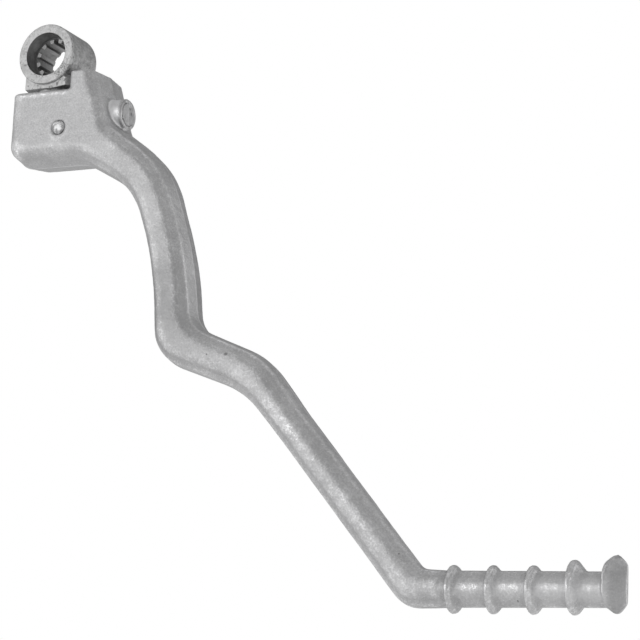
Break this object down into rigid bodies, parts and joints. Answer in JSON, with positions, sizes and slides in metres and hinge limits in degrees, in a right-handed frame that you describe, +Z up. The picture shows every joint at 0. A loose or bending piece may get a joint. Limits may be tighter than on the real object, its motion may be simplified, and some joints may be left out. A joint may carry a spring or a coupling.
{
  "type": "motorcycle_kick_start_lever",
  "caption": "Folding kick start lever: splined steel knuckle, forged aluminium arm with an S bend, ribbed foot peg, cross pin and sprung ball detent",
  "frame": {"origin": "crossing of the kick shaft axis and the folding axis, half way along the splined barrel", "axes": "+Z up along the folding axis, towards the barrel; +X towards the arm and peg; -Y away from the engine, the side of the screw seat"},
  "size_m": [0.2586, 0.0266, 0.2336],
  "materials": {
    "knuckle_steel": "satin",
    "arm_aluminium": "satin",
    "pin_steel": "polished",
    "ball_steel": "polished",
    "spring_steel": "satin",
    "plug_aluminium": "satin",
    "seal_rubber": "matte"
  },
  "bodies": {
    "knuckle_body": {"knuckle": "knuckle_steel", "pivot_seal": "seal_rubber"},
    "lever_body": {"lever_arm": "arm_aluminium", "retaining_pin": "pin_steel", "detent_spring": "spring_steel", "detent_plug": "plug_aluminium"},
    "ball_body": {"detent_ball": "ball_steel"}
  },
  "joints": [
    {"name": "arm_fold", "type": "hinge", "parent": "knuckle_body", "child": "lever_body", "pos_m": [0, 0, 0], "axis": [0, 0, -1], "range_deg": [0, 90]},
    {"name": "detent_travel", "type": "slide", "parent": "lever_body", "child": "ball_body", "axis": [1, 0, 0], "range_m": [-0.0007, 0], "stiffness_N_per_m": 2000, "springref_m": -0.004, "deforming": ["detent_spring"]}
  ]
}
